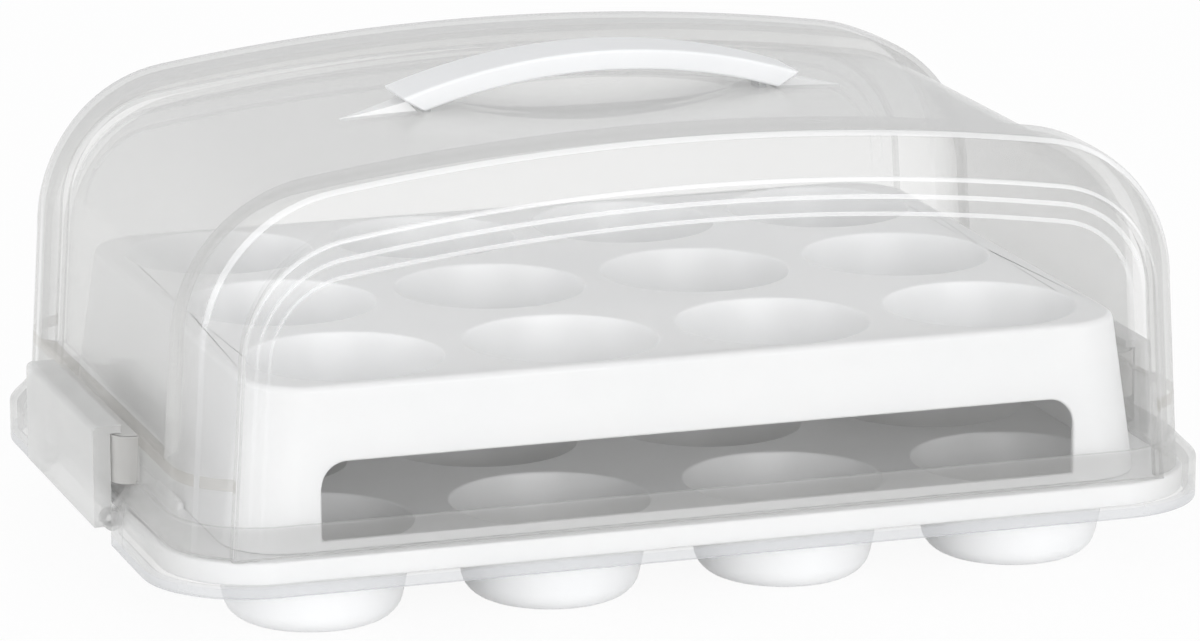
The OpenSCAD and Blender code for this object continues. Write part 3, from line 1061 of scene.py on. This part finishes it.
@dataclass
class Studio:
    """The floor, the lights and the camera.

    Attributes:
        azimuth: The camera's direction round the object, in degrees; 0 looks along +Y.
        elevation: Its height above the horizon, in degrees.
        distance: From the camera to the point it looks at, in metres.
        focal_px: Its focal length in pixels of a 1200 pixel wide frame.
        target: The point it looks at, in metres.
    """

    azimuth: float = -18.627
    elevation: float = 13.909
    distance: float = 2.37187
    focal_px: float = 6192.8
    target: Point = (0.062404, 0.177161, 0.02617)
    frame_px: float = 1200.0
    sensor_mm: float = 36.0
    sky: float = 0.82
    floor_glow: float = 0.93
    floor_half: float = 6.0

    def camera(self) -> None:
        """Makes the camera at the photograph's viewing angle."""
        data = bpy.data.cameras.new("camera")
        data.sensor_width = self.sensor_mm
        data.sensor_fit = "HORIZONTAL"
        data.lens = self.sensor_mm * self.focal_px / self.frame_px
        data.clip_start, data.clip_end = 0.05, 50.0
        a, e = math.radians(self.azimuth), math.radians(self.elevation)
        back = Vector((math.sin(a) * math.cos(e), -math.cos(a) * math.cos(e), math.sin(e)))
        made = bpy.data.objects.new("camera", data)
        made.location = Vector(self.target) + back * self.distance
        made.rotation_mode = "QUATERNION"
        made.rotation_quaternion = (-back).to_track_quat("-Z", "Y")
        bpy.context.scene.collection.objects.link(made)
        bpy.context.scene.camera = made

    def floor(self) -> None:
        """Makes the white floor, which shows a soft shadow of the object."""
        tree = Tree("floor_white")
        rays = [tree.node("ShaderNodeLightPath", output=name)
                for name in ("Is Camera Ray", "Is Glossy Ray", "Is Transmission Ray")]
        seen = tree.node("ShaderNodeMath", {"operation": "MINIMUM"}, {0: rays[0] + rays[1] + rays[2], 1: 1.0})
        tree.set(Base_Color=(0.93, 0.93, 0.93, 1.0), Roughness=0.9, Specular_IOR_Level=0.0)
        glow = tree.nodes.new("ShaderNodeEmission")
        glow.inputs["Color"].default_value = (1.0, 1.0, 1.0, 1.0)
        mix = tree.nodes.new("ShaderNodeMixShader")
        tree.links.new((seen * self.floor_glow).socket, mix.inputs[0])
        tree.links.new(tree.shader.outputs[0], mix.inputs[1])
        tree.links.new(glow.outputs[0], mix.inputs[2])
        tree.links.new(mix.outputs[0], tree.output.inputs[0])
        far = self.floor_half
        mesh = bpy.data.meshes.new("floor")
        mesh.from_pydata([(-far, -far, 0), (far, -far, 0), (far, far, 0), (-far, far, 0)], [], [(0, 1, 2, 3)])
        mesh.materials.append(tree.material)
        made = bpy.data.objects.new("floor", mesh)
        made.location.z = -0.0002
        bpy.context.scene.collection.objects.link(made)

    def sky_light(self) -> None:
        """Makes the even white surroundings."""
        world = bpy.data.worlds.new("studio")
        bpy.context.scene.world = world
        world.use_nodes = True
        nodes, links = world.node_tree.nodes, world.node_tree.links
        nodes.clear()
        path = nodes.new("ShaderNodeLightPath")
        shows = nodes.new("ShaderNodeMath")
        shows.operation = "MAXIMUM"
        plain = nodes.new("ShaderNodeBackground")
        plain.inputs[0].default_value = (0.985, 0.99, 1.0, 1.0)
        plain.inputs[1].default_value = self.sky
        white = nodes.new("ShaderNodeBackground")
        white.inputs[1].default_value = 1.0
        mix = nodes.new("ShaderNodeMixShader")
        out = nodes.new("ShaderNodeOutputWorld")
        links.new(path.outputs["Is Camera Ray"], shows.inputs[0])
        links.new(path.outputs["Is Transmission Ray"], shows.inputs[1])
        links.new(shows.outputs[0], mix.inputs[0])
        links.new(plain.outputs[0], mix.inputs[1])
        links.new(white.outputs[0], mix.inputs[2])
        links.new(mix.outputs[0], out.inputs[0])

    def lamp(self, name: str, place: Point, aim: Point, size: Flat, power: float) -> None:
        """Makes one soft rectangular lamp.

        Args:
            name: Its name.
            place: Where it stands, in metres.
            aim: The point it shines at.
            size: Its width and height in metres.
            power: Its power in watts.
        """
        data = bpy.data.lights.new(name, "AREA")
        data.shape = "RECTANGLE"
        data.size, data.size_y = size
        data.energy = power
        made = bpy.data.objects.new(name, data)
        made.location = place
        made.rotation_mode = "QUATERNION"
        made.rotation_quaternion = (Vector(aim) - Vector(place)).to_track_quat("-Z", "Y")
        bpy.context.scene.collection.objects.link(made)

    def build(self) -> None:
        """Makes the whole studio."""
        self.camera()
        self.floor()
        self.sky_light()
        self.lamp("front_soft", (0.0, -2.7, 0.6), (0, 0, 0.08), (2.4, 1.0), 35)
        self.lamp("left_soft", (-2.7, -0.5, 0.7), (0, 0, 0.08), (1.6, 1.0), 10)
        bpy.context.scene.view_settings.view_transform = "Standard"


def main() -> None:
    """Builds the studio and every piece, in order."""
    logging.basicConfig(level=logging.INFO, format="%(message)s")
    Studio().build()
    pieces = [
        BaseTray("base_tray", "cup_tray", "base", "tray_white", MouldedWhite("base_white")),
        Tray("upper_tray", "cup_tier", "tray", "upper_white", MouldedWhite("upper_white")),
        Lid(),
        Handle(MouldedWhite("handle_white", (0.82, 0.825, 0.83), (0.80, 0.805, 0.81))),
        # The clips' softened edges take the second finish, the painted highlight.
        Moulding("clip_left", clear_finishes("clip_left_smoke", 0.45)[:2], 1.0),
        Moulding("clip_right", clear_finishes("clip_right_smoke", 0.45)[:2], 1.0),
    ]
    for piece in pieces:
        made = piece.build()
        log.info("%s: %d faces", made.name, len(made.data.polygons))


if __name__ == "__main__":
    main()
